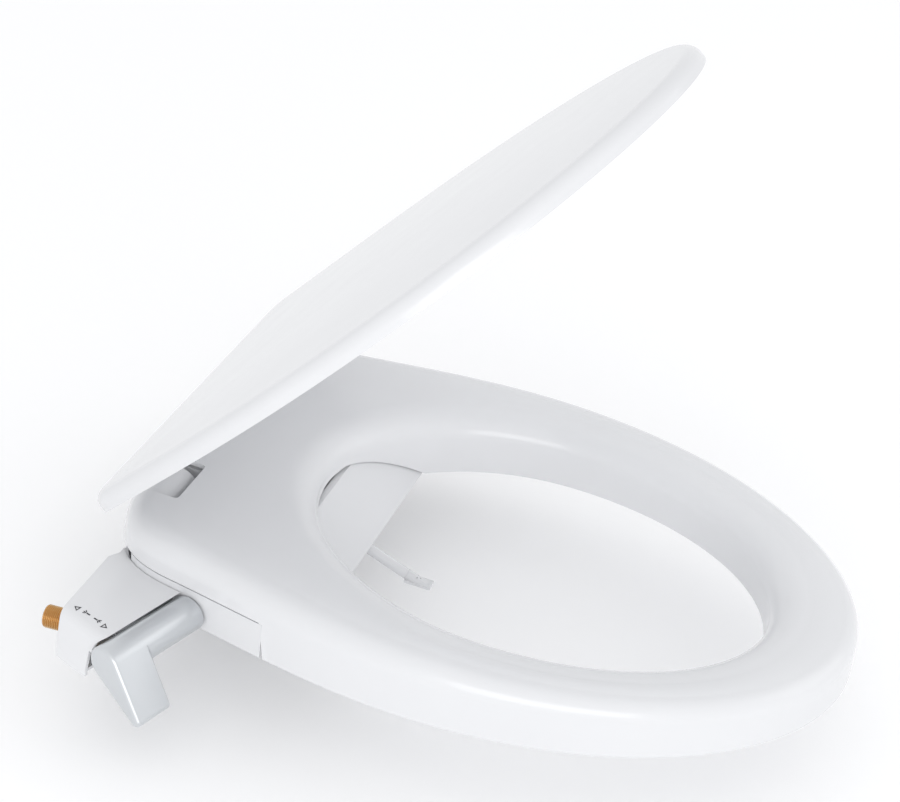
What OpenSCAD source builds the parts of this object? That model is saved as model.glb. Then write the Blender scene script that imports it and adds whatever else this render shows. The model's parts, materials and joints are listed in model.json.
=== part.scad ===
/* [Seat] */
// Overall width of the seat ring
seat_w = 375; // [365:1:385]
// From the bolt line to the front edge of the seat
front_reach = 450; // [440:1:460]
// From the bolt line to the rear edge of the seat
rear_reach = 81; // [79:1:82]
// Height of the top face at the front edge, above the bowl
front_h = 41; // [38:1:43]
// Rise of the top face per millimetre toward the hinge
top_rise = 0.043; // [0.04:0.001:0.045]
// Gap between the bowl and the seat's lower edge
bowl_gap = 5; // [4:0.5:6]
// Width of the opening
opening_w = 258; // [250:1:260]
// Wall thickness of the plastic shells
wall = 3; // [2.5:0.5:3]

/* [Lid] */
// Angle at which the lid stands open
lid_open = 49.4; // [0:0.1:90]
// Thickness of the lid at its rim
lid_t = 13.5; // [12:0.5:15]
// Gap between the closed lid's rim and the seat
lid_gap = 1.5; // [1.5:0.5:2.5]

/* [Hinge] */
// Height of the hinge axis above the bowl
hinge_z = 26; // [25:0.5:27]
// Distance of the hinge axis behind the bolt line
hinge_y = 56; // [55:1:57]
// Radius of the hinge pins
pin_r = 4; // [3.5:0.5:4.5]

/* [Mounting] */
// Distance between the two fixing bolts
bolt_span = 155; // [140:1:165]
// Radius of the fixing bolts
bolt_r = 4; // [3:0.5:5]
// Length of the bolts below the plate
bolt_len = 55; // [40:1:70]

/* [Controls] */
// Angle of the lever's barrel from the side direction
lever_skew = 18; // [16:0.1:21]
// Radius of the lever's barrel
lever_r = 13.5; // [13:0.5:14]
// Length of the lever's barrel
lever_len = 84; // [80:1:86]
// Major radius of the inlet thread, G 3/8
inlet_r = 8.33; // [8:0.01:9]

/* [Nozzle] */
// Radius of the wand
wand_r = 4.2; // [4:0.1:4.5]
// Slope of the wand below the horizontal
wand_slope = 21.5; // [20:0.5:22]
// Travel of the wand
wand_travel = 49; // [45:1:49]

/* [Hidden] */
$fn = 64;

white = [0.95, 0.95, 0.96];
inner_white = [0.86, 0.87, 0.89];
silver = [0.80, 0.82, 0.83];
brass = [0.78, 0.60, 0.32];
steel = [0.70, 0.71, 0.73];
dark = [0.25, 0.25, 0.27];
grey = [0.60, 0.61, 0.63];
clear_grey = [0.78, 0.80, 0.82];

half_w = seat_w / 2;
front_y = -front_reach;
round_k = 0.5523; // handle length of a quarter ellipse
run_clear = 0.08; // radial clearance of a turning pin

// --- curves -----------------------------------------------------------------

function bez(p, t) = pow(1 - t, 3) * p[0] + 3 * pow(1 - t, 2) * t * p[1]
  + 3 * (1 - t) * t * t * p[2] + pow(t, 3) * p[3];
function bez_dir(p, t) = pow(1 - t, 2) * (p[1] - p[0]) + 2 * (1 - t) * t * (p[2] - p[1])
  + t * t * (p[3] - p[2]);
function unit(v) = v / norm(v);
function out_normal(d) = [unit(d)[1], -unit(d)[0]];

// Half an outline as [point, outward normal], front centre to rear centre
function half_stations(curves, steps) = concat(
  [for (c = [0:len(curves) - 1]) for (i = [0:steps[c] - 1])
    let (t = i / steps[c]) [bez(curves[c], t), out_normal(bez_dir(curves[c], t))]],
  [[curves[len(curves) - 1][3], [0, 1]]]);
function flip_x(s) = [[-s[0][0], s[0][1]], [-s[1][0], s[1][1]]];
// The whole loop, both halves
function stations(curves, steps) = let (h = half_stations(curves, steps), n = len(h) - 1)
  concat(h, [for (i = [n - 1:-1:1]) flip_x(h[i])]);
function inset_at(s, d) = s[0] - s[1] * d;

// Quarter ellipse, then a tapering side, then a broad rear corner
widest_y = front_y + 278;
side_y = 10;
side_x = half_w - 26.5;
function seat_curves() = [
  [[0, front_y], [round_k * half_w, front_y], [half_w, widest_y - round_k * (widest_y - front_y)],
    [half_w, widest_y]],
  [[half_w, widest_y], [half_w, widest_y + 67], [side_x + 11, side_y - 60], [side_x, side_y]],
  [[side_x, side_y], [side_x - 10, 72], [116, rear_reach], [0, rear_reach]]];

lid_front = front_y - 2;
lid_rear = 33;
lid_half = half_w - 1;
lid_corner_x = side_x - 24;
function lid_curves() = [
  [[0, lid_front], [round_k * lid_half, lid_front],
    [lid_half, widest_y - round_k * (widest_y - lid_front)], [lid_half, widest_y]],
  [[lid_half, widest_y], [lid_half, widest_y + 67], [side_x + 12, -46], [side_x + 1, 14]],
  [[side_x + 1, 14], [side_x - 1, 27], [side_x - 8, lid_rear], [lid_corner_x, lid_rear]],
  [[lid_corner_x, lid_rear], [90, lid_rear], [45, lid_rear], [0, lid_rear]]];

open_half = opening_w / 2;
open_front = front_y + 65;
open_rear = -41;
open_wide_y = -200;
function opening_curves() = [
  [[0, open_front], [round_k * open_half, open_front],
    [open_half, open_wide_y - round_k * (open_wide_y - open_front)], [open_half, open_wide_y]],
  [[open_half, open_wide_y], [open_half, open_wide_y + 89], [0.5 * open_half, open_rear], [0, open_rear]]];

seat_loop = stations(seat_curves(), [16, 9, 11]);
opening_loop = stations(opening_curves(), [16, 20]);
lid_loop = stations(lid_curves(), [16, 8, 7, 5]);
body_loop = stations(seat_curves(), [8, 12, 14]);

function top_z(y) = front_h + top_rise * (y - front_y);
function clamp01(v) = max(0, min(1, v));
// The top edge is rounded more softly toward the rear
function edge_r(y) = 13 + 8 * clamp01((y + 330) / 350);
draft = 1; // lean of the outer wall over its height
lip_w = 26; // width of the soft inner lip
lip_h = 20; // height of the soft inner lip

// Outer rim of the shell at angle a of its rounding, sh deep inside the skin
function rim_pt(s, a, sh) = let (r = edge_r(s[0][1]), d = draft + r - (r - sh) * cos(a),
  p = inset_at(s, d)) [p[0], p[1], top_z(p[1]) - r + (r - sh) * sin(a)];
// Inner lip of the shell at angle a of its rounding
function lip_pt(s, a, sh) = let (d = draft + lip_w - (lip_w - sh) * cos(a),
  p = inset_at(s, -d)) [p[0], p[1], top_z(p[1]) - lip_h + (lip_h - sh) * sin(a)];
function across(a, b, f) = a + (b - a) * f;
function foot_pt(s, d) = let (p = inset_at(s, d)) [p[0], p[1], bowl_gap];

function ring_section(i) = let (o = seat_loop[i], n = opening_loop[i],
  o0 = rim_pt(o, 90, 0), n0 = lip_pt(n, 90, 0), o1 = rim_pt(o, 90, wall), n1 = lip_pt(n, 90, wall))
  concat([foot_pt(o, 0)],
    [for (a = [0:18:90]) rim_pt(o, a, 0)],
    [for (f = [0.2:0.2:0.8]) across(o0, n0, f) + [0, 0, 4 * f * (1 - f)]],
    [for (a = [90:-18:0]) lip_pt(n, a, 0)],
    [foot_pt(n, 0), foot_pt(n, -wall)],
    [for (a = [0:30:90]) lip_pt(n, a, wall)],
    [for (f = [0.75:-0.25:0.25]) across(o1, n1, f)],
    [for (a = [90:-30:0]) rim_pt(o, a, wall)],
    [foot_pt(o, wall)]);

function quad(a, b, c, d) = [[a, b, c], [a, c, d]];
function flat1(l) = [for (a = l) for (b = a) b];

// A closed loop of equal sections, each a closed loop of points
module ring_loft(sections) {
  n = len(sections);
  m = len(sections[0]);
  polyhedron(points = flat1(sections), faces = flat1([for (i = [0:n - 1]) for (j = [0:m - 1])
    let (k = (i + 1) % n, l = (j + 1) % m) quad(i * m + j, i * m + l, k * m + l, k * m + j)]), convexity = 8);
}

// Sections that start on the top centre point and end on the under centre point
module disc_loft(sections, top_pt, under_pt) {
  n = len(sections);
  m = len(sections[0]);
  t = n * m;
  polyhedron(points = concat(flat1(sections), [top_pt, under_pt]), faces = concat(
    flat1([for (i = [0:n - 1]) for (j = [0:m - 2])
      let (k = (i + 1) % n) quad(i * m + j, i * m + j + 1, k * m + j + 1, k * m + j)]),
    [for (i = [0:n - 1]) let (k = (i + 1) % n) [t, i * m, k * m]],
    [for (i = [0:n - 1]) let (k = (i + 1) % n) [t + 1, k * m + m - 1, i * m + m - 1]]), convexity = 8);
}

module at_hinge() translate([0, hinge_y, hinge_z]) children();
module x_rod(x0, x1, r) translate([x0, hinge_y, hinge_z]) rotate([0, 90, 0]) cylinder(r = r, h = x1 - x0);
// A plate across X with a side outline given as [y, z] from the hinge axis
module x_plate(x0, x1, outline) translate([x0, hinge_y, hinge_z]) rotate([90, 0, 90])
  linear_extrude(x1 - x0) polygon(outline);
module loop_prism(loop, inset, z0, z1) translate([0, 0, z0])
  linear_extrude(z1 - z0) polygon([for (s = loop) inset_at(s, inset)]);
module span(lo, hi) translate(lo) cube(hi - lo);
module z_rod(x, y, z0, z1, r) translate([x, y, z0]) cylinder(r = r, h = z1 - z0);
// Side outline in Y and Z, drawn across X from -w to w
module yz_prism(w, outline) translate([-w, 0, 0]) rotate([90, 0, 90]) linear_extrude(2 * w) polygon(outline);

// --- fixed base -------------------------------------------------------------

plate_t = 4;
plate_w = 105;
tray_front = -66;
tray_rear = 64;
split_z = 34; // top of the fixed side wall
tray_z0 = bowl_gap;
nose_w = 100; // half width of the sloped front
nose_y = -87;
nose_top_y = -46;
hinge_floor = 8;
notch_x0 = 59;
notch_x1 = 106;
notch_y = 34;

module mounting_plate() {
  color(steel) difference() {
    span([-plate_w, -50, 0], [plate_w, 48, plate_t]);
    for (s = [-1, 1]) z_rod(s * bolt_span / 2, 0, -1, plate_t + 1, bolt_r + 0.2);
  }
}

module fixing_bolt() {
  color(steel) union() {
    z_rod(bolt_span / 2, 0, -bolt_len, 0, bolt_r);
    z_rod(bolt_span / 2, 0, -1, tray_z0 + wall, bolt_r - 0.4);
    translate([bolt_span / 2, 0, tray_z0 + wall]) cylinder(r = 7.5, h = 5.3, $fn = 6);
  }
}
module fixing_bolt_left() mirror([1, 0, 0]) fixing_bolt();
module fixing_bolt_right() fixing_bolt();

// Outside of the tray, grown by g at the top and front for cutting clearance
module tray_block(inset, z0, z1, g) {
  intersection() {
    loop_prism(body_loop, inset, z0, z1);
    span([-200, tray_front - g + inset, z0], [200, tray_rear - inset, z1]);
  }
}
lever_pt = [-164, -6.6, 15.5];
lever_dir = [-cos(lever_skew), sin(lever_skew), 0];
module along_lever(s0) translate(lever_pt + lever_dir * s0) rotate([0, 0, 180 - lever_skew])
  rotate([90, 0, 90]) children(); // local x = forward of the barrel, local y = up, local z = along it
spindle_r = 4;

wand_x = -14;
wand_y = -90;
wand_z = -4.5;
module along_wand(t) translate([wand_x, wand_y + t * cos(wand_slope), wand_z + t * sin(wand_slope)])
  rotate([-90 + wand_slope, 0, 0]) children(); // local z = rearward and up
guide_t0 = 45;
guide_t1 = 110;
guide_r = 7;

// How far a skin of the given thickness shifts the sloped front along Y
nose_run = (nose_top_y - nose_y) / (split_z - tray_z0);
function nose_line(z, skin) = nose_y + (z - tray_z0) * nose_run + skin * sqrt(1 + nose_run * nose_run);

module tray_outside() difference() {
  union() {
    tray_block(0, tray_z0, split_z, 0);
    span([-nose_w, nose_y, tray_z0], [nose_w, tray_front + 10, split_z]);
  }
  yz_prism(nose_w + 1, [[nose_line(0, 0), 0], [nose_line(40, 0), 40], [nose_line(0, 0), 40]]);
}
module tray_inside() union() {
  difference() {
    tray_block(wall, tray_z0 + wall, split_z + 1, 0);
    span([-nose_w + wall, nose_y, 0], [nose_w - wall, -34, 60]);
  }
  yz_prism(nose_w - wall, [[nose_line(tray_z0 + wall, wall), tray_z0 + wall], [-33, tray_z0 + wall],
    [-33, split_z + 1], [nose_line(split_z + 1, wall), split_z + 1]]);
}
hose_hole = [-161.4, 12.5, 14.5];
module base_tray() {
  color(inner_white) difference() {
    tray_outside();
    tray_inside();
    // low walls where the seat's rear swings down
    span([-200, 50, 22], [200, 90, 60]);
    for (s = [-1, 1]) span([s > 0 ? notch_x0 - 7 : -notch_x1 - 8, 45, hinge_floor],
      [s > 0 ? notch_x1 + 8 : -notch_x0 + 7, 90, 60]);
    for (s = [-1, 1]) z_rod(s * bolt_span / 2, 0, 0, 20, bolt_r + 0.2);
    // slots that the lid arms swing through
    for (s = [-1, 1]) span([s > 0 ? arm_x0 - 0.8 : -arm_x1 - 0.8, 44, 0], [s > 0 ? arm_x1 + 0.8 : -arm_x0 + 0.8, 90, 60]);
    // slot in the floor for the wand and its guide, behind the sloped front
    translate([wand_x, 0, 0]) yz_prism(guide_r + 1, [[-79, 0], [-79, 7.5], [-66, 14], [-40, 24], [-30, 24], [-30, 0]]);
    along_lever(-12) cylinder(r = spindle_r + 1, h = 24);
    translate(hose_hole) rotate([0, 90, -26]) cylinder(r = 5, h = 20, center = true);
  }
}

cover_z1 = 46;
cover_front = -30;
cover_rear = 16;
cover_inset = 16;
module cover_block(inset, z0, z1) intersection() {
  loop_prism(body_loop, cover_inset + inset, z0, z1);
  span([-200, cover_front + inset, z0], [200, cover_rear - inset, z1]);
}
module base_cover() {
  color(inner_white) difference() {
    cover_block(0, split_z, cover_z1);
    cover_block(2, split_z - 1, cover_z1 - 2);
  }
}

tower_r = 12;
arm_x0 = 59.5; // the lid arms run beside the notch's inner wall
arm_x1 = 65.5;
module hinge_tower() {
  color(clear_grey) difference() {
    union() {
      x_rod(70, 105, tower_r);
      span([70, hinge_y - tower_r, hinge_floor], [105, hinge_y + 7.5, hinge_z]);
    }
    x_rod(50, 120, pin_r);
  }
}
module hinge_tower_left() mirror([1, 0, 0]) hinge_tower();
module hinge_tower_right() hinge_tower();
module hinge_pin() color(steel) x_rod(notch_x0 - 6, notch_x1 + 6.5, pin_r);
module hinge_pin_left() mirror([1, 0, 0]) hinge_pin();
module hinge_pin_right() hinge_pin();

// --- control box ------------------------------------------------------------

box_top = 28.5;
box_z0 = -5;
box_rear = 66;
box_rear_in = 61;
box_front_in = [-150, -9];
box_front_out = [-240, 26];
box_rear_out = [-231, box_rear];
box_wall = 2.5;
box_round = 8;
// Distance of the box's front face behind the lever axis, below the barrel
lever_room = 18;

function arc_pts(c, r, a0, a1, n) = [for (i = [0:n]) let (a = a0 + (a1 - a0) * i / n)
  c + r * [cos(a), sin(a)]];
// Plan of the box, inset by d, with its outer corners rounded
module box_plan(d) polygon(concat(
  [[-125, box_front_in[1] + d], [box_front_in[0], box_front_in[1] + d]],
  arc_pts(box_front_out + [6, 3], 6 - d, 245, 170, 6),
  arc_pts(box_rear_out + [8, -8], 8 - d, 165, 90, 6),
  // the seat's rear corner swings past the inner end
  [[-150, box_rear - d], [-142, box_rear_in - d], [-125, box_rear_in - d]]));

box_edge_pt = [-236.5, 26.3]; // front end of the top outer edge
box_edge_turn = 22.6; // turn of that edge from straight back
box_lean = 7; // how far the outer face leans out at the bottom
// The box: its plan, cut by an outer face that leans out and is rounded along the top
module box_body(d) intersection() {
  translate([0, 0, box_z0 - (d > 0 ? 1 : 0)]) linear_extrude(box_top - box_z0 - d + (d > 0 ? 1 : 0)) box_plan(d);
  translate([box_edge_pt[0], box_edge_pt[1], 0]) rotate([90, 0, -box_edge_turn]) translate([0, 0, -120])
    linear_extrude(200) polygon(concat([[150, box_z0 - 2], [150, box_top - d]],
      arc_pts([box_round, box_top - box_round], box_round - d, 90, 165, 8), [[d - box_lean, box_z0 - 2]]));
}

inlet_pt = [-208.75, 46.23, 13];
inlet_turn = 5; // turn of the inlet from straight back toward the side
inlet_len = 35; // from the inlet's shoulder to the end of its thread
inlet_neck = 7.4; // radius where it passes through the box
thread_len = 14;
module along_inlet(s) translate(inlet_pt) rotate([0, 0, inlet_turn]) rotate([-90, 0, 0])
  translate([0, 0, s]) children(); // local z = out of the box

module control_shell() {
  color(white) difference() {
    box_body(0);
    box_body(box_wall);
    translate([0, 0, -30]) linear_extrude(100) polygon([for (s = body_loop) inset_at(s, -0.6)]);
    along_lever(-20) cylinder(r = lever_r + 2, h = 130);
    along_lever(-20) translate([-lever_room, -60, 0]) cube([60, 60, 130]);
    along_inlet(0) cylinder(r = inlet_neck + 0.2, h = inlet_len);
  }
}
module control_base() {
  color(white) difference() {
    intersection() {
      box_body(box_wall + 0.3);
      span([-300, -60, box_z0 + 0.5], [0, 100, box_z0 + 3]);
    }
    translate([0, 0, -30]) linear_extrude(100) polygon([for (s = body_loop) inset_at(s, -0.1)]);
    along_lever(-20) translate([-lever_room - box_wall, -60, 0]) cube([60, 60, 130]);
    for (p = screw_places) z_rod(p[0], p[1], -20, 20, 1.6);
  }
}
screw_places = [[-222, 40], [-168, 55], [-200, 33]];
module control_screws() color(steel) for (p = screw_places) {
  z_rod(p[0], p[1], box_z0 + 0.5, box_z0 + 12, 1.6);
}

// Four flat marks printed across the top: triangle, spray, spray, triangle
mark_t = 0.2;
module mark_triangle(d) difference() {
  polygon([[0, 4.4 * d], [2.6, 0], [-2.6, 0]]);
  polygon([[0, 3 * d], [1.5, 0.6 * d], [-1.5, 0.6 * d]]);
}
module mark_spray(d) {
  translate([0, -1.5 * d]) square([1, 3.2], center = true);
  for (a = [-35, 0, 35]) rotate(a + (d > 0 ? 0 : 180)) translate([0, 2]) square([0.6, 2.2], center = true);
}
module wash_marks() color(dark) translate([-216, 44, box_top]) rotate(-19) linear_extrude(mark_t) {
  translate([0, 12]) mark_triangle(1);
  translate([1, 5]) mark_spray(1);
  translate([1, -5.5]) mark_spray(-1);
  translate([0, -12]) mark_triangle(-1);
}

module inlet_fitting() {
  color(brass) difference() {
    union() {
      along_inlet(-9) cylinder(r = 6, h = 12);
      along_inlet(0) cylinder(r = inlet_neck, h = inlet_len - 1);
      along_inlet(inlet_len - thread_len) cylinder(r = inlet_r, h = thread_len);
      along_inlet(-0.5) cylinder(r = 11, h = 3.5, $fn = 6);
    }
    along_inlet(-10) cylinder(r = 3.5, h = 50);
  }
}
module inlet_washer() color(dark) difference() {
  along_inlet(inlet_len - 4) cylinder(r = 3.4, h = 3);
  along_inlet(inlet_len - 5) cylinder(r = 2, h = 5);
}

// A straight length of hose between two points
module hose(a, b, r) {
  v = b - a;
  translate(a) rotate([0, acos(v[2] / norm(v)), atan2(v[1], v[0])]) cylinder(r = r, h = norm(v));
}
hose_r = 3.4;
inlet_back = inlet_pt - 9 * [-sin(inlet_turn), cos(inlet_turn), 0];
module supply_hose() color(clear_grey) union() {
  hose(inlet_back + [2, -3.5, 0], [-150.5, 8, 15.5], hose_r);
  hose([-150.5, 9, 15.5], [-150.3, -3.2, 15.5], hose_r);
}
valve_r = 7;
module selector_valve() color(grey) difference() {
  along_lever(-44) cylinder(r = valve_r, h = 36);
  along_lever(-30) cylinder(r = spindle_r + run_clear, h = 40);
}
module nozzle_hose() color(clear_grey) hose([-118.5, -21.5, 17.5], [wand_x - guide_r - 1.5, 8, 31.4], hose_r);
module nozzle_guide() color(grey) difference() {
  along_wand(guide_t0) cylinder(r = guide_r, h = guide_t1 - guide_t0);
  along_wand(guide_t0 - 1) cylinder(r = wand_r + run_clear, h = guide_t1 - guide_t0 - 1);
}

// --- lever ------------------------------------------------------------------

tip_r = 4.5;
tip_pt = [30.1, -31.9]; // of the paddle's end, forward of and above the barrel axis
grip_from = 53.5; // where along the barrel the paddle starts
// Side outline of the paddle: two circles and their outer tangents
function teardrop(r1, c, r2) = let (l = norm(c), b = atan2(c[1], c[0]), g = acos((r1 - r2) / l))
  concat(arc_pts([0, 0], r1, b + g, b + 360 - g, 24), arc_pts(c, r2, b - g, b + g, 12));
module lever_grip() {
  color(silver) difference() {
    union() {
      along_lever(-6) cylinder(r = lever_r, h = grip_from + 7);
      along_lever(grip_from) linear_extrude(lever_len - grip_from)
        polygon(teardrop(lever_r + 0.15, tip_pt, tip_r));
    }
    along_lever(-8) cylinder(r = spindle_r, h = 68);
    // the barrel ends along the base's side wall
    translate([0, 0, -60]) linear_extrude(120) polygon([for (s = body_loop) inset_at(s, -1.6)]);
  }
}
module lever_spindle() color(steel) along_lever(-28) cylinder(r = spindle_r, h = 88);

// --- nozzle -----------------------------------------------------------------

wand_from = -28; // where the wand meets its tip
wand_back = guide_t1 - 3 - wand_travel;
blade = [[wand_x - 5, -136.7, -19.8], [wand_x + 5, -115.8, -17.3]];
module nozzle_wand() color(inner_white) difference() {
  along_wand(wand_from) cylinder(r = wand_r, h = wand_back - wand_from);
  along_wand(wand_from - 5) cylinder(r = 2.4, h = 120);
}
// A flat blade under the wand's end, with three spray holes above it
module nozzle_tip() color(white) difference() {
  union() {
    span(blade[0], blade[1]);
    intersection() {
      along_wand(wand_from - 22) cylinder(r = wand_r, h = 22);
      span([-30, -134, blade[0][2] + 1], [0, -100, 0]);
    }
  }
  for (p = [[-1.6, -36], [1.6, -36], [0, -38.5]])
    along_wand(p[1]) translate([p[0], 0, 0]) rotate([90, 0, 0]) cylinder(r = 0.6, h = 9);
}

// --- seat -------------------------------------------------------------------

seat_split_y = tray_front - 1;
module seat_ring() {
  color(white) difference() {
    ring_loft([for (i = [0:len(seat_loop) - 1]) ring_section(i)]);
    span([-200, seat_split_y, 0], [200, 100, split_z + 1]);
    yz_prism(nose_w + 2, [[nose_line(0, 0) - 2.5, 0], [nose_line(split_z + 2.5, 0) - 2.5, split_z + 2.5],
      [-20, split_z + 2.5], [-20, 0]]);
    for (s = [-1, 1]) span([s > 0 ? notch_x0 : -notch_x1, notch_y, 0], [s > 0 ? notch_x1 : -notch_x0, 100, 100]);
  }
}
module seat_underplate() {
  color(white) difference() {
    loop_prism(seat_loop, wall + 0.2, bowl_gap + 0.3, bowl_gap + 2.8);
    translate([0, 0, -1]) linear_extrude(20) polygon([for (s = opening_loop) inset_at(s, -wall - 0.2)]);
    span([-200, nose_y - 6, 0], [200, 100, 20]);
  }
}
hood_pt = [53.5, 41.5]; // centre of the round cover in the notch
hood_r = 18.5;
module hood(x0, x1, inner) translate([x0, hood_pt[0], hood_pt[1]]) rotate([90, 0, 90]) linear_extrude(x1 - x0)
  difference() {
    polygon(concat([[hood_r, 0], [-hood_r, 0], [-hood_r, 0.1]], arc_pts([0, 0], hood_r, 179, 1, 30)));
    if (inner > 0) polygon(concat([[inner, -1], [-inner, -1]], arc_pts([0, 0], inner, 180, 0, 24)));
  }
module seat_hinge() {
  color(inner_white) difference() {
    union() {
      for (x = [[notch_x0 - 6, notch_x0 - 0.5], [notch_x1 + 0.5, notch_x1 + 6.5]]) {
        x_rod(x[0], x[1], tower_r);
        x_plate(x[0], x[1], [[-tower_r, 0], [-30, 26], [-30, 30], [1, 30], [tower_r, 0]]);
      }
      span([notch_x0 - 6, hinge_y - 34, hinge_z + 26], [notch_x1 + 6.5, hinge_y - 24, hinge_z + 30]);
      hood(arm_x1 + 0.6, notch_x1 - 0.5, hood_r - 3);
      hood(notch_x1 - 3.5, notch_x1 - 0.5, 0);
      span([notch_x1 - 2, 42, 46], [notch_x1 + 2, 54, 52]);
    }
    x_rod(40, 130, pin_r + run_clear);
  }
}
module seat_hinge_left() mirror([1, 0, 0]) seat_hinge();
module seat_hinge_right() seat_hinge();

module seat_bumper(x, y) color(grey) z_rod(x, y, 0, bowl_gap + 0.3, 9);
module seat_bumper_front_left() seat_bumper(-80, -398);
module seat_bumper_front_right() seat_bumper(80, -398);
module seat_bumper_rear_left() seat_bumper(-154, -150);
module seat_bumper_rear_right() seat_bumper(154, -150);

// --- lid, drawn closed and then turned open -----------------------------------

lid_r = 9; // rounding of the lid's upper edge
lid_crown = 4;
bumper_lift = 1.2; // the seat's top face is crowned under the lid's bumpers
lid_centre = [0, -200];
function lid_z(y) = top_z(y) + lid_gap;
function lid_rim(s, a, sh) = let (p = inset_at(s, lid_r - (lid_r - sh) * cos(a)))
  [p[0], p[1], lid_z(p[1]) + lid_t - lid_r + (lid_r - sh) * sin(a)];
function lid_foot(s, d) = let (p = inset_at(s, d)) [p[0], p[1], lid_z(p[1])];
function lid_inner(s, f, sh) = let (q = inset_at(s, lid_r), p = across(lid_centre, q, f))
  [p[0], p[1], lid_z(p[1]) + lid_t - sh + lid_crown * (1 - f * f)];
function lid_section(s) = concat(
  [for (f = [0.3, 0.6, 0.85]) lid_inner(s, f, 0)],
  [for (a = [90:-18:0]) lid_rim(s, a, 0)],
  [lid_foot(s, 0), lid_foot(s, wall)],
  [for (a = [0:30:90]) lid_rim(s, a, wall)],
  [for (f = [0.85, 0.6, 0.3]) lid_inner(s, f, wall)]);
module opened() at_hinge() rotate([-lid_open, 0, 0]) translate([0, -hinge_y, -hinge_z]) children();

module lid() {
  color(white) opened() difference() {
    disc_loft([for (s = lid_loop) lid_section(s)],
      [0, lid_centre[1], lid_z(lid_centre[1]) + lid_t + lid_crown],
      [0, lid_centre[1], lid_z(lid_centre[1]) + lid_t + lid_crown - wall]);
    for (s = [-1, 1]) span([s > 0 ? arm_x0 - 0.5 : -arm_x1 - 0.5, lid_rear - 5, 50],
      [s > 0 ? arm_x1 + 0.5 : -arm_x0 + 0.5, lid_rear + 1, hinge_z + 43.5]);
  }
}
module lid_arm() {
  color(clear_grey) opened() difference() {
    union() {
      x_rod(arm_x0, arm_x1, tower_r);
      x_plate(arm_x0, arm_x1, [[-tower_r, 0], [-20.5, 16], [-20.5, 37.8], [-42, 38], [-42, 47], [-33, 47],
        [-32, 43], [-17, 43], [-10, 34], [tower_r, 0]]);
    }
    x_rod(50, 120, pin_r + run_clear);
  }
}
module lid_arm_left() mirror([1, 0, 0]) lid_arm();
module lid_arm_right() lid_arm();
module lid_bumper(x) {
  color(grey) opened() translate([x, -330, lid_z(-330) + lid_t - wall])
    rotate([180, 0, 0]) cylinder(r = 8, h = lid_t - wall + lid_gap - bumper_lift);
}
module lid_bumper_left() lid_bumper(-125);
module lid_bumper_right() lid_bumper(125);

mounting_plate();
base_tray();
base_cover();
hinge_tower_left();
hinge_tower_right();
hinge_pin_left();
hinge_pin_right();
fixing_bolt_left();
fixing_bolt_right();
control_shell();
control_base();
control_screws();
wash_marks();
inlet_fitting();
inlet_washer();
supply_hose();
selector_valve();
nozzle_hose();
nozzle_guide();
lever_grip();
lever_spindle();
nozzle_wand();
nozzle_tip();
seat_ring();
seat_underplate();
seat_hinge_left();
seat_hinge_right();
seat_bumper_front_left();
seat_bumper_front_right();
seat_bumper_rear_left();
seat_bumper_rear_right();
lid();
lid_arm_left();
lid_arm_right();
lid_bumper_left();
lid_bumper_right();
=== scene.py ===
import json
import math

import bmesh
import bpy
from mathutils import Matrix, Vector


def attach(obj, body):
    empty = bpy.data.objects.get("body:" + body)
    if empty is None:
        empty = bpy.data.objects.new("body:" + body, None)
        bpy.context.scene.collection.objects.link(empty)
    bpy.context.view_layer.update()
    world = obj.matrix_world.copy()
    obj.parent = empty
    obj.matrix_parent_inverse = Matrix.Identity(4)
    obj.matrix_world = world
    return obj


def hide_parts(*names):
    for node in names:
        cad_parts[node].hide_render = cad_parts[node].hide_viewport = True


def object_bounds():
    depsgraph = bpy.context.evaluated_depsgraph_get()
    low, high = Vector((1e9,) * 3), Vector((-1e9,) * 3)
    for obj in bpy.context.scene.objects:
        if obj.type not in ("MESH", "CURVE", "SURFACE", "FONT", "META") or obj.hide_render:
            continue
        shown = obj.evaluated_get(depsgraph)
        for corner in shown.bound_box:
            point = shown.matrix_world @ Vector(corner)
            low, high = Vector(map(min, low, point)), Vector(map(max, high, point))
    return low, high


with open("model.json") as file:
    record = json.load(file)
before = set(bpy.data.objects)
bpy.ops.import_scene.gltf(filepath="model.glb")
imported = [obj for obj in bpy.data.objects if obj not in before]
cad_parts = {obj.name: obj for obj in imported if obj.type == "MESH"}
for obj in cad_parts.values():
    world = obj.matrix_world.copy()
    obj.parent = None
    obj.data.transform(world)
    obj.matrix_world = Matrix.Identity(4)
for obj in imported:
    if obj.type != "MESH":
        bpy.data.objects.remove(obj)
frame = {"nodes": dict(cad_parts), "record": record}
cad_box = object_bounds()
MM = 0.001

# --- camera -----------------------------------------------------------------

CAM_AZ, CAM_EL, CAM_ROLL = math.radians(-72.457), math.radians(33.759), math.radians(6.416)
CAM_DIST, CAM_RIGHT, CAM_UP = 1.5027, 0.0941, 0.0574
FOCAL_WIDTHS = 2.1485  # focal length in image widths
CAM_SHIFT = 0.05


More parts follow.
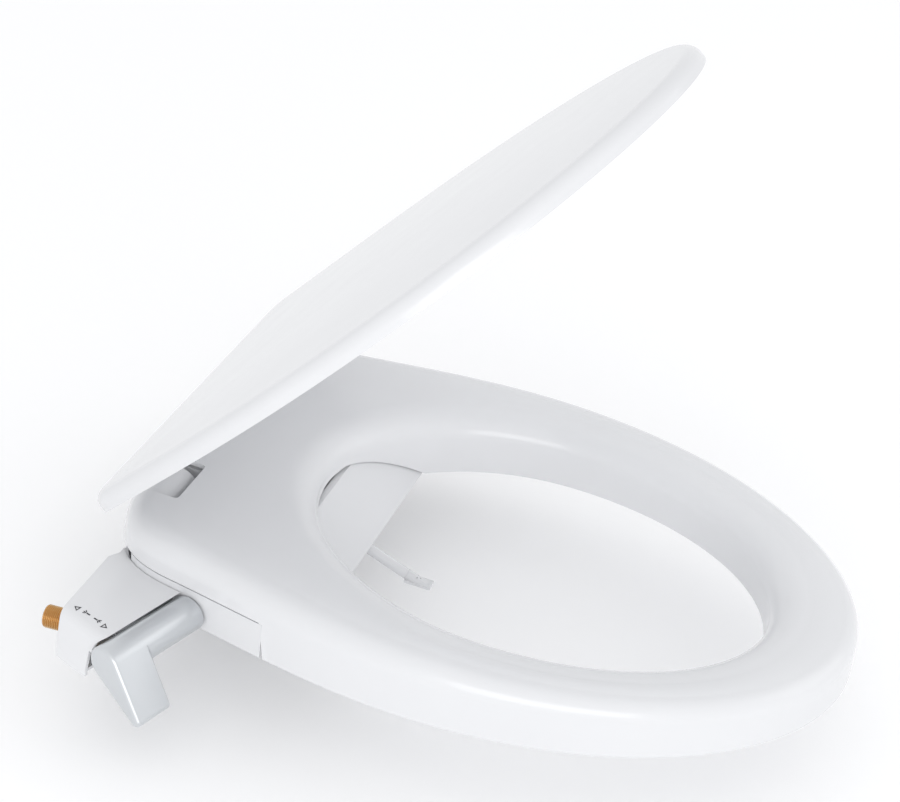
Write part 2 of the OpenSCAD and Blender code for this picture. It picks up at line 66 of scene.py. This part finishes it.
def make_camera():
    a, e = CAM_AZ, CAM_EL
    back = Vector((math.sin(a) * math.cos(e), -math.cos(a) * math.cos(e), math.sin(e)))
    right = Vector((math.cos(a), math.sin(a), 0))
    up = back.cross(right)
    place = back * CAM_DIST + right * CAM_RIGHT + up * CAM_UP
    turned = right * math.cos(CAM_ROLL) + up * math.sin(CAM_ROLL)
    upright = up * math.cos(CAM_ROLL) - right * math.sin(CAM_ROLL)
    data = bpy.data.cameras.new("camera")
    data.sensor_width = 36
    data.lens = 36 * FOCAL_WIDTHS
    data.shift_x = CAM_SHIFT
    data.shift_y = CAM_SHIFT
    data.clip_end = 50
    camera = bpy.data.objects.new("camera", data)
    rows = Matrix((turned, upright, back)).transposed().to_4x4()
    camera.matrix_world = Matrix.Translation(place) @ rows
    bpy.context.collection.objects.link(camera)
    bpy.context.scene.camera = camera


# --- materials --------------------------------------------------------------


def new_material(name):
    mat = bpy.data.materials.new(name)
    mat.use_nodes = True
    nodes = mat.node_tree.nodes
    return mat, nodes, mat.node_tree.links, nodes["Principled BSDF"]


def add(nodes, kind, **values):
    node = nodes.new(kind)
    for key, value in values.items():
        if key in node.inputs:
            node.inputs[key].default_value = value
        else:
            setattr(node, key, value)
    return node


def moulded(name, low, high, rough, coat=0.0, grain=0.02, grain_scale=900, spread=0.05, metal=0.0):
    """A moulded or cast surface: faint colour clouds, uneven gloss and a fine grain."""
    mat, nodes, links, shader = new_material(name)
    coord = add(nodes, "ShaderNodeTexCoord")
    clouds = add(nodes, "ShaderNodeTexNoise", Scale=9.0, Detail=3.0)
    links.new(coord.outputs["Object"], clouds.inputs["Vector"])
    ramp = add(nodes, "ShaderNodeValToRGB")
    ramp.color_ramp.elements[0].position = 0.3
    ramp.color_ramp.elements[1].position = 0.7
    ramp.color_ramp.elements[0].color = (*low, 1)
    ramp.color_ramp.elements[1].color = (*high, 1)
    links.new(clouds.outputs["Fac"], ramp.inputs["Fac"])
    links.new(ramp.outputs["Color"], shader.inputs["Base Color"])
    gloss = add(nodes, "ShaderNodeMapRange")
    gloss.inputs["To Min"].default_value = rough - spread / 2
    gloss.inputs["To Max"].default_value = rough + spread / 2
    wear = add(nodes, "ShaderNodeTexNoise", Scale=38.0, Detail=6.0)
    links.new(coord.outputs["Object"], wear.inputs["Vector"])
    links.new(wear.outputs["Fac"], gloss.inputs["Value"])
    links.new(gloss.outputs["Result"], shader.inputs["Roughness"])
    fine = add(nodes, "ShaderNodeTexNoise", Scale=grain_scale, Detail=2.0)
    links.new(coord.outputs["Object"], fine.inputs["Vector"])
    bump = add(nodes, "ShaderNodeBump", Strength=grain, Distance=0.0004)
    links.new(fine.outputs["Fac"], bump.inputs["Height"])
    links.new(bump.outputs["Normal"], shader.inputs["Normal"])
    shader.inputs["Metallic"].default_value = metal
    shader.inputs["Coat Weight"].default_value = coat
    shader.inputs["Coat Roughness"].default_value = 0.08
    return mat


def brushed(name, low, high, rough, along, scale=260):
    """Metal with fine streaks along one axis."""
    mat, nodes, links, shader = new_material(name)
    coord = add(nodes, "ShaderNodeTexCoord")
    stretch = add(nodes, "ShaderNodeMapping")
    stretch.inputs["Scale"].default_value = [0.06 if i == along else 1 for i in range(3)]
    links.new(coord.outputs["Object"], stretch.inputs["Vector"])
    streaks = add(nodes, "ShaderNodeTexNoise", Scale=scale, Detail=5.0)
    links.new(stretch.outputs["Vector"], streaks.inputs["Vector"])
    ramp = add(nodes, "ShaderNodeValToRGB")
    ramp.color_ramp.elements[0].position = 0.35
    ramp.color_ramp.elements[1].position = 0.65
    ramp.color_ramp.elements[0].color = (*low, 1)
    ramp.color_ramp.elements[1].color = (*high, 1)
    links.new(streaks.outputs["Fac"], ramp.inputs["Fac"])
    links.new(ramp.outputs["Color"], shader.inputs["Base Color"])
    gloss = add(nodes, "ShaderNodeMapRange")
    gloss.inputs["To Min"].default_value = rough - 0.06
    gloss.inputs["To Max"].default_value = rough + 0.06
    links.new(streaks.outputs["Fac"], gloss.inputs["Value"])
    links.new(gloss.outputs["Result"], shader.inputs["Roughness"])
    bump = add(nodes, "ShaderNodeBump", Strength=0.05, Distance=0.0003)
    links.new(streaks.outputs["Fac"], bump.inputs["Height"])
    links.new(bump.outputs["Normal"], shader.inputs["Normal"])
    shader.inputs["Metallic"].default_value = 1.0
    return mat


MATERIALS = {
    "white_plastic": moulded("white_plastic", (0.72, 0.725, 0.74), (0.74, 0.745, 0.76), 0.24, coat=0.35),
    "grey_plastic": moulded("grey_plastic", (0.69, 0.70, 0.72), (0.73, 0.74, 0.76), 0.36, grain=0.06),
    "hose_plastic": moulded("hose_plastic", (0.34, 0.36, 0.38), (0.40, 0.42, 0.44), 0.45, grain=0.08),
    "dark_print": moulded("dark_print", (0.018, 0.018, 0.022), (0.03, 0.03, 0.035), 0.5, grain=0.1),
    "rubber": moulded("rubber", (0.24, 0.25, 0.27), (0.29, 0.30, 0.32), 0.7, grain=0.25, grain_scale=500),
    "satin_silver": moulded("satin_silver", (0.60, 0.62, 0.64), (0.65, 0.67, 0.69), 0.33, coat=0.25,
                            grain=0.05, grain_scale=1600, metal=0.75),
    "steel": brushed("steel", (0.42, 0.43, 0.45), (0.56, 0.57, 0.59), 0.3, along=0),
    "brass": moulded("brass", (0.56, 0.34, 0.14), (0.74, 0.50, 0.25), 0.22, grain=0.05, metal=1.0),
}

# --- curves of the outlines, in millimetres, as in the CAD ---------------------

HALF_W = 187.5
FRONT_Y = -450.0
WIDEST_Y = FRONT_Y + 278
SIDE_X, SIDE_Y = HALF_W - 26.5, 10.0
REAR_Y = 81.0
ROUND_K = 0.5523
WALL = 3.0
BOWL_GAP = 5.0
FRONT_H, TOP_RISE = 41.0, 0.043
OPEN_HALF, OPEN_FRONT, OPEN_REAR, OPEN_WIDE_Y = 129.0, FRONT_Y + 65, -41.0, -200.0
DRAFT, LIP_W, LIP_H = 1.0, 26.0, 20.0
HINGE = Vector((0, 56, 26))
LID_OPEN = math.radians(49.4)
LID_T, LID_GAP, LID_R, LID_CROWN = 13.5, 1.5, 9.0, 4.0
LID_FRONT, LID_REAR, LID_HALF = FRONT_Y - 2, 33.0, HALF_W - 1
LID_CENTRE_Y = -200.0
SPLIT_Y, SPLIT_Z = -67.0, 35.0
NOSE_Y, NOSE_TOP_Y = -87.0, -46.0
NOSE_GAP = 2.5  # between the base's sloped front and the seat
TOP_CROWN = 4.0  # four times the rise of the seat's top between its rims
NOTCH_IN, NOTCH_OUT, NOTCH_FRONT, NOTCH_CORNER = 59.0, 106.0, 34.0, 3.0
CUT_REAR, CUT_TOP = 120.0, 120.0  # well behind and above the seat


def bezier(p, t):
    s = 1 - t
    return [s**3 * p[0][k] + 3 * s * s * t * p[1][k] + 3 * s * t * t * p[2][k] + t**3 * p[3][k] for k in (0, 1)]


def bezier_dir(p, t):
    s = 1 - t
    return [s * s * (p[1][k] - p[0][k]) + 2 * s * t * (p[2][k] - p[1][k]) + t * t * (p[3][k] - p[2][k])
            for k in (0, 1)]


def quarter(x0, y0, x1, y1, k=ROUND_K):
    """A quarter ellipse from (0, y0) out to (x1, y1)."""
    return [(0, y0), (k * x1, y0), (x1, y1 - k * (y1 - y0)), (x1, y1)]


SEAT_CURVES = [
    quarter(0, FRONT_Y, HALF_W, WIDEST_Y),
    [(HALF_W, WIDEST_Y), (HALF_W, WIDEST_Y + 67), (SIDE_X + 11, SIDE_Y - 60), (SIDE_X, SIDE_Y)],
    [(SIDE_X, SIDE_Y), (SIDE_X - 10, 72), (116, REAR_Y), (0, REAR_Y)],
]
OPENING_CURVES = [
    quarter(0, OPEN_FRONT, OPEN_HALF, OPEN_WIDE_Y),
    [(OPEN_HALF, OPEN_WIDE_Y), (OPEN_HALF, OPEN_WIDE_Y + 89), (0.5 * OPEN_HALF, OPEN_REAR), (0, OPEN_REAR)],
]
LID_CURVES = [
    quarter(0, LID_FRONT, LID_HALF, WIDEST_Y),
    [(LID_HALF, WIDEST_Y), (LID_HALF, WIDEST_Y + 67), (SIDE_X + 12, -46), (SIDE_X + 1, 14)],
    [(SIDE_X + 1, 14), (SIDE_X - 1, 27), (SIDE_X - 8, LID_REAR), (SIDE_X - 24, LID_REAR)],
    [(SIDE_X - 24, LID_REAR), (90, LID_REAR), (45, LID_REAR), (0, LID_REAR)],
]


def stations(curves, steps):
    """The whole loop as [(x, y), (outward normal x, y)], from the front centre round by +X."""
    half = []
    for curve, count in zip(curves, steps):
        for i in range(count):
            dx, dy = bezier_dir(curve, i / count)
            size = math.hypot(dx, dy)
            half.append((bezier(curve, i / count), (dy / size, -dx / size)))
    half.append((list(curves[-1][3]), (0.0, 1.0)))
    other = [([-p[0], p[1]], (-n[0], n[1])) for p, n in reversed(half[1:-1])]
    return half + other


def inset(station, d):
    (x, y), (nx, ny) = station
    return x - nx * d, y - ny * d


def circle_arc(centre, r, a0, a1, count):
    return [(centre[0] + r * math.cos(a0 + (a1 - a0) * i / count),
             centre[1] + r * math.sin(a0 + (a1 - a0) * i / count)) for i in range(count + 1)]


def top_z(y):
    return FRONT_H + TOP_RISE * (y - FRONT_Y)


def edge_r(y):
    return 13 + 8 * min(1, max(0, (y + 330) / 350))


def smooth_angles(count):
    return [math.pi / 2 * i / count for i in range(count + 1)]


# --- mesh helpers -----------------------------------------------------------


def outward(mesh):
    """Turns every face's front outward."""
    bm = bmesh.new()
    bm.from_mesh(mesh)
    bmesh.ops.recalc_face_normals(bm, faces=bm.faces)
    bm.to_mesh(mesh)
    bm.free()


def link_mesh(name, verts, faces, material, body, node):
    """Makes a visible piece, in millimetres, that moves with a body and stands for a CAD node."""
    mesh = bpy.data.meshes.new(name)
    mesh.from_pydata([tuple(c * MM for c in v) for v in verts], [], faces)
    mesh.validate()
    mesh.update()
    outward(mesh)
    mesh.materials.append(MATERIALS[material])
    piece = bpy.data.objects.new(name, mesh)
    bpy.context.collection.objects.link(piece)
    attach(piece, body)
    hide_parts(node)
    return piece


def shade_by_angle(piece, degrees=32):
    bpy.ops.object.select_all(action="DESELECT")
    piece.select_set(True)
    bpy.context.view_layer.objects.active = piece
    bpy.ops.object.shade_smooth_by_angle(angle=math.radians(degrees))


def cut_notch(piece, low, high):
    """Cuts one notch for a hinge, with rounded front corners, right through the seat's rear."""
    r = NOTCH_CORNER
    outline = circle_arc((low + r, NOTCH_FRONT + r), r, math.pi, 1.5 * math.pi, 5)
    outline += circle_arc((high - r, NOTCH_FRONT + r), r, 1.5 * math.pi, 2 * math.pi, 5)
    outline += [(high, CUT_REAR), (low, CUT_REAR)]
    count = len(outline)
    verts = [(x, y, z) for z in (0, CUT_TOP) for x, y in outline]
    faces = [tuple(range(count)), tuple(range(count, 2 * count))]
    faces += [(i, (i + 1) % count, count + (i + 1) % count, count + i) for i in range(count)]
    mesh = bpy.data.meshes.new("cutter")
    mesh.from_pydata([tuple(c * MM for c in v) for v in verts], [], faces)
    outward(mesh)
    cutter = bpy.data.objects.new("cutter", mesh)
    bpy.context.collection.objects.link(cutter)
    cut = piece.modifiers.new("cut", "BOOLEAN")
    cut.operation = "DIFFERENCE"
    cut.solver = "EXACT"
    cut.object = cutter
    bpy.context.view_layer.objects.active = piece
    bpy.ops.object.modifier_apply(modifier=cut.name)
    bpy.data.objects.remove(cutter)
    bpy.data.meshes.remove(mesh)


# --- seat ring --------------------------------------------------------------


def rim_pt(station, a, sh):
    """A point on the seat's outer edge at an angle of its rounding, sh deep inside the skin."""
    r = edge_r(station[0][1])
    x, y = inset(station, DRAFT + r - (r - sh) * math.cos(a))
    return x, y, top_z(y) - r + (r - sh) * math.sin(a)


def lip_pt(station, a, sh):
    """The same on the soft lip round the opening."""
    x, y = inset(station, -(DRAFT + LIP_W - (LIP_W - sh) * math.cos(a)))
    return x, y, top_z(y) - LIP_H + (LIP_H - sh) * math.sin(a)


def across(a, b, f):
    return [p + (q - p) * f for p, q in zip(a, b)]


def nose_z(y):
    """Height of the seat's lower edge over the base's sloped front."""
    rise = (SPLIT_Z - 1 - BOWL_GAP) / (NOSE_TOP_Y - NOSE_Y)
    return min(SPLIT_Z + 1.5, max(BOWL_GAP, BOWL_GAP + (y - NOSE_Y + NOSE_GAP) * rise))


def ring_section(outer, opening, raised):
    """One section of the ring's shell, from its outer foot over the top and back underneath."""
    foot = SPLIT_Z if raised else BOWL_GAP
    o0, n0 = rim_pt(outer, math.pi / 2, 0), lip_pt(opening, math.pi / 2, 0)
    o1, n1 = rim_pt(outer, math.pi / 2, WALL), lip_pt(opening, math.pi / 2, WALL)
    section = [(*inset(outer, 0), foot), (*inset(outer, 0.1), foot + 1)]
    section += [rim_pt(outer, a, 0) for a in smooth_angles(12)]
    for i in range(1, 12):
        f = i / 12
        x, y, z = across(o0, n0, f)
        section.append((x, y, z + TOP_CROWN * f * (1 - f)))
    section += [lip_pt(opening, a, 0) for a in reversed(smooth_angles(14))]
    lip_y = opening[0][1]
    section += [(*inset(opening, 0), nose_z(lip_y)), (*inset(opening, -WALL), nose_z(lip_y))]
    section += [lip_pt(opening, a, WALL) for a in smooth_angles(6)]
    section += [across(o1, n1, f) for f in (0.75, 0.5, 0.25)]
    section += [rim_pt(outer, a, WALL) for a in reversed(smooth_angles(6))]
    section.append((*inset(outer, WALL), foot))
    return section


def loop_faces(count, size):
    """Faces between neighbouring closed sections of a closed loop."""
    return [(i * size + j, i * size + (j + 1) % size, (i + 1) % count * size + (j + 1) % size,
             (i + 1) % count * size + j) for i in range(count) for j in range(size)]


def make_seat_ring():
    outer = stations(SEAT_CURVES, [64, 36, 44])
    inner = stations(OPENING_CURVES, [64, 80])
    sections = [ring_section(o, n, raised=o[0][1] > SPLIT_Y) for o, n in zip(outer, inner)]
    size = len(sections[0])
    verts = [p for s in sections for p in s]
    piece = link_mesh("seat_ring_shell", verts, loop_faces(len(sections), size), "white_plastic",
                      "seat", "seat_ring")
    for side in (-1, 1):
        low, high = sorted((side * NOTCH_IN, side * NOTCH_OUT))
        cut_notch(piece, low, high)
    shade_by_angle(piece)


# --- lid --------------------------------------------------------------------


def lid_z(y):
    return top_z(y) + LID_GAP


def lid_rim(station, a, sh):
    """A point on the lid's rounded rim, sh deep inside the skin."""
    x, y = inset(station, LID_R - (LID_R - sh) * math.cos(a))
    return x, y, lid_z(y) + LID_T - LID_R + (LID_R - sh) * math.sin(a)


def lid_inner(station, f, sh):
    """A point on the lid's dome, a share f of the way from its centre to the rim."""
    x, y = across((0, LID_CENTRE_Y), inset(station, LID_R), f)
    return x, y, lid_z(y) + LID_T - sh + LID_CROWN * (1 - f * f)


def make_lid():
    """A domed shell, built closed and then turned open about the hinge."""
    loop = stations(LID_CURVES, [60, 32, 14, 16])
    rings = [0.97, 0.9, 0.8, 0.65, 0.5, 0.35, 0.2, 0.08]
    sections = []
    for s in loop:
        section = [lid_inner(s, f, 0) for f in reversed(rings)]
        section += [lid_rim(s, a, 0) for a in reversed(smooth_angles(10))]
        section += [(*inset(s, d), lid_z(inset(s, d)[1])) for d in (0.0, 0.3, WALL - 0.3, WALL)]
        section += [lid_rim(s, a, WALL) for a in smooth_angles(6)]
        section += [lid_inner(s, f, WALL) for f in rings]
        sections.append(section)
    count, size = len(sections), len(sections[0])
    verts = [p for s in sections for p in s]
    faces = [(i * size + j, i * size + j + 1, (i + 1) % count * size + j + 1, (i + 1) % count * size + j)
             for i in range(count) for j in range(size - 1)]
    crown = lid_z(LID_CENTRE_Y) + LID_T + LID_CROWN
    verts += [(0, LID_CENTRE_Y, crown), (0, LID_CENTRE_Y, crown - WALL)]
    top, under = len(verts) - 2, len(verts) - 1
    faces += [(top, i * size, (i + 1) % count * size) for i in range(count)]
    faces += [(under, (i + 1) % count * size + size - 1, i * size + size - 1) for i in range(count)]
    turn = Matrix.Rotation(-LID_OPEN, 4, "X")
    verts = [tuple(HINGE + turn @ (Vector(v) - HINGE)) for v in verts]
    piece = link_mesh("lid_shell", verts, faces, "white_plastic", "lid", "lid")
    shade_by_angle(piece)


# --- carried-over CAD nodes ---------------------------------------------------

WELD_WITHIN = 0.00001
BEVEL_OVER = math.radians(35)
# Widths of the softened edges, in millimetres
EDGE_WIDTHS = {
    "control_shell": 0.9, "base_tray": 0.5, "nozzle_tip": 0.5, "nozzle_wand": 0.4,
    "hinge_tower_left": 0.6, "hinge_tower_right": 0.6, "lid_arm_left": 0.8, "lid_arm_right": 0.8,
    "seat_hinge_left": 0.5, "seat_hinge_right": 0.5,
}


def dress_nodes():
    """Gives every CAD node its finish and softens the edges of those that show."""
    slots = {s["node"]: s["material_slot"] for s in frame["record"]["subparts"]}
    for name, node in frame["nodes"].items():
        node.data.materials.clear()
        node.data.materials.append(MATERIALS[slots[name]])
        width = EDGE_WIDTHS.get(name)
        if width:
            weld = node.modifiers.new("weld", "WELD")
            weld.merge_threshold = WELD_WITHIN
            bevel = node.modifiers.new("edges", "BEVEL")
            bevel.width = width * MM
            bevel.segments = 3
            bevel.limit_method = "ANGLE"
            bevel.angle_limit = BEVEL_OVER


# --- lever ------------------------------------------------------------------

LEVER_PT = Vector((-164, -6.6, 15.5))
LEVER_TURN = math.radians(180 - 18)
LEVER_R, LEVER_LEN, GRIP_FROM = 13.5, 84.0, 53.5
ROOT_GAP = 1.6  # between the barrel's inner end and the base's side wall
PADDLE_TIP, PADDLE_R = (30.1, -31.9), 4.5


def inside(x, y, outline):
    """Whether a point in plan lies within a closed outline."""
    found = False
    for (x0, y0), (x1, y1) in zip(outline, outline[1:] + outline[:1]):
        if (y0 > y) != (y1 > y) and x < x0 + (y - y0) / (y1 - y0) * (x1 - x0):
            found = not found
    return found


def lever_place(point, s):
    """From across and along the barrel to the frame: forward, up and outward."""
    along = Vector((math.cos(LEVER_TURN), math.sin(LEVER_TURN), 0))
    forward = Vector((-math.sin(LEVER_TURN), math.cos(LEVER_TURN), 0))
    return LEVER_PT + forward * point[0] + Vector((0, 0, point[1])) + along * s


PADDLE_REACH = math.hypot(*PADDLE_TIP)
FILLET, INNER_ROUND, OUTER_ROUND = 2.6, 1.4, 2.8


def drop_outline(reach, back_inset, tip_inset):
    """A circle about the barrel's axis joined by tangents to a smaller one at the given reach."""
    b, g = math.atan2(PADDLE_TIP[1], PADDLE_TIP[0]), math.acos((LEVER_R - PADDLE_R) / PADDLE_REACH)
    tip_r = LEVER_R - (LEVER_R - PADDLE_R) * reach / PADDLE_REACH
    centre = (reach * math.cos(b), reach * math.sin(b))
    return (circle_arc((0, 0), LEVER_R - back_inset, b + g, b + 2 * math.pi - g, 44)
            + circle_arc(centre, tip_r - tip_inset, b - g, b + g, 20))


def make_lever():
    """A round barrel that grows into a drop-shaped paddle at its outer end."""
    body = [inset(s, -ROOT_GAP) for s in stations(SEAT_CURVES, [16, 24, 24])]

    def root(point):
        """How far along the barrel a point of its outline comes clear of the base."""
        low, high = -9.0, 12.0
        for _ in range(20):
            middle = (low + high) / 2
            at = lever_place(point, middle)
            low, high = (middle, high) if inside(at.x, at.y, body) else (low, middle)
        return high

    barrel = drop_outline(0, 0, 0)
    rings = [[lever_place(p, root(p)) for p in drop_outline(0, 0.7, 0.7)],
             [lever_place(p, root(p) + 0.25) for p in drop_outline(0, 0.2, 0.2)],
             [lever_place(p, root(p) + 0.8) for p in barrel]]
    # each level is the paddle's reach, the two insets and the place along the barrel
    levels = [(0, 0, 0, 15.0), (0, 0, 0, GRIP_FROM - FILLET)]
    turns = [math.pi / 2 * i / 6 for i in range(1, 7)]
    levels += [(FILLET * (1 - math.cos(a)), 0, 0, GRIP_FROM - FILLET + FILLET * math.sin(a)) for a in turns]
    levels += [(PADDLE_REACH, 0, INNER_ROUND * (1 - math.sin(a)), GRIP_FROM + INNER_ROUND * (1 - math.cos(a)))
               for a in [0] + turns]
    levels += [(PADDLE_REACH, 0, 0, LEVER_LEN - 20)]
    levels += [(PADDLE_REACH, OUTER_ROUND * (1 - math.cos(a)), OUTER_ROUND * (1 - math.cos(a)),
                LEVER_LEN - OUTER_ROUND * (1 - math.sin(a))) for a in [0] + turns]
    rings += [[lever_place(p, s) for p in drop_outline(m, back, tip)] for m, back, tip, s in levels]
    count = len(barrel)
    verts = [v for r in rings for v in r]
    faces = [(k * count + i, k * count + (i + 1) % count,
              (k + 1) * count + (i + 1) % count, (k + 1) * count + i)
             for k in range(len(rings) - 1) for i in range(count)]
    faces.append(tuple(range(count)))
    faces.append(tuple(range(len(verts) - count, len(verts))))
    piece = link_mesh("lever_grip_body", verts, faces, "satin_silver", "lever", "lever_grip")
    shade_by_angle(piece, 40)


# --- water inlet ------------------------------------------------------------

INLET_PT = Vector((-208.75, 46.23, 13))
INLET_TURN = math.radians(5)
INLET_LEN, INLET_NECK, THREAD_LEN, THREAD_R = 35.0, 7.4, 14.0, 8.33
THREAD_PITCH, THREAD_DEPTH = 1.337, 0.95
THREAD_STEPS, TURN_STEPS = 168, 72
INLET_BORE, NIPPLE_R, NIPPLE_LEN = 3.5, 6.0, 9.0
SEAL_R, SEAL_DEPTH = 5.6, 4.0  # the recess that holds the washer
HEX_R, HEX_LOW, HEX_HIGH, HEX_BEVEL = 11.0, -0.5, 3.0, 0.5


def inlet_place(x, y, s):
    """From the inlet's own axes to the frame; s runs out of the box."""
    c, k = math.cos(INLET_TURN), math.sin(INLET_TURN)
    return INLET_PT + Vector((x * c - s * k, x * k + s * c, y))


def lathe_inlet(profile, name):
    """Turns a closed profile of (radius, distance along), given for each angle, about the inlet's axis."""
    verts = []
    for i in range(TURN_STEPS):
        a = 2 * math.pi * i / TURN_STEPS
        verts += [inlet_place(r * math.cos(a), r * math.sin(a), s) for r, s in profile(a)]
    size = len(verts) // TURN_STEPS
    piece = link_mesh(name, verts, loop_faces(TURN_STEPS, size), "brass", "base", "inlet_fitting")
    shade_by_angle(piece, 40)


def thread_r(s, a):
    """Radius of the thread at a distance along the inlet and an angle."""
    turns = (s - INLET_LEN) / THREAD_PITCH - a / (2 * math.pi)
    valley = 0.5 - 0.5 * math.cos(2 * math.pi * turns)
    lead_in = max(0, 1 - (INLET_LEN - s) / 1.2)
    return THREAD_R - max(THREAD_DEPTH * valley, 0.8 * lead_in)


def make_inlet():
    start = INLET_LEN - THREAD_LEN

    def stem(a):
        points = [(INLET_BORE, -NIPPLE_LEN), (NIPPLE_R, -NIPPLE_LEN), (NIPPLE_R, HEX_LOW)]
        points += [(INLET_NECK, HEX_LOW + 0.1), (INLET_NECK, start)]
        for i in range(1, THREAD_STEPS + 1):
            s = start + THREAD_LEN * i / THREAD_STEPS
            points.append((thread_r(s, a), s))
        seal = INLET_LEN - SEAL_DEPTH
        return points + [(SEAL_R, INLET_LEN), (SEAL_R, seal), (INLET_BORE, seal)]

    def hexagon(a):
        sixth = math.pi / 3
        r = HEX_R * math.cos(sixth / 2) / math.cos((a + sixth / 2) % sixth - sixth / 2)
        return [(NIPPLE_R, HEX_LOW), (r - HEX_BEVEL, HEX_LOW), (r, HEX_LOW + HEX_BEVEL),
                (r, HEX_HIGH - HEX_BEVEL), (r - HEX_BEVEL, HEX_HIGH), (NIPPLE_R, HEX_HIGH)]

    lathe_inlet(stem, "inlet_thread")
    lathe_inlet(hexagon, "inlet_hexagon")


# --- floor and light ----------------------------------------------------------


FLOOR_GAP, FLOOR_HALF = 0.002, 12.0
AIM = (0, -0.2, 0.05)


def make_stage():
    """A plain pale floor under the part and an even white sky."""
    low = cad_box[0][2] - FLOOR_GAP
    mesh = bpy.data.meshes.new("floor")
    size = FLOOR_HALF
    mesh.from_pydata([(-size, -size, low), (size, -size, low), (size, size, low), (-size, size, low)], [],
                     [(0, 1, 2, 3)])
    floor = bpy.data.objects.new("floor", mesh)
    bpy.context.collection.objects.link(floor)
    mat, _, _, shader = new_material("floor")
    shader.inputs["Base Color"].default_value = (0.95, 0.95, 0.955, 1)
    shader.inputs["Roughness"].default_value = 0.9
    shader.inputs["Emission Color"].default_value = (1, 1, 1, 1)
    shader.inputs["Emission Strength"].default_value = 0.05
    floor.data.materials.append(mat)
    world = bpy.data.worlds.new("studio")
    world.use_nodes = True
    world.node_tree.nodes["Background"].inputs["Color"].default_value = (0.985, 0.99, 1.0, 1)
    world.node_tree.nodes["Background"].inputs["Strength"].default_value = 0.97
    bpy.context.scene.world = world
    bpy.context.scene.view_settings.view_transform = "Standard"


def area_light(name, place, size, power):
    data = bpy.data.lights.new(name, "AREA")
    data.shape = "RECTANGLE"
    data.size, data.size_y = size
    data.energy = power
    light = bpy.data.objects.new(name, data)
    light.location = place
    light.rotation_euler = (Vector(AIM) - Vector(place)).to_track_quat("-Z", "Y").to_euler()
    bpy.context.collection.objects.link(light)


make_camera()
make_stage()
area_light("key", (-2.0, -0.9, 0.6), (1.6, 1.0), 11)
area_light("fill", (0.8, -2.2, 1.2), (1.6, 1.6), 4)
dress_nodes()
make_seat_ring()
make_lid()
make_lever()
make_inlet()
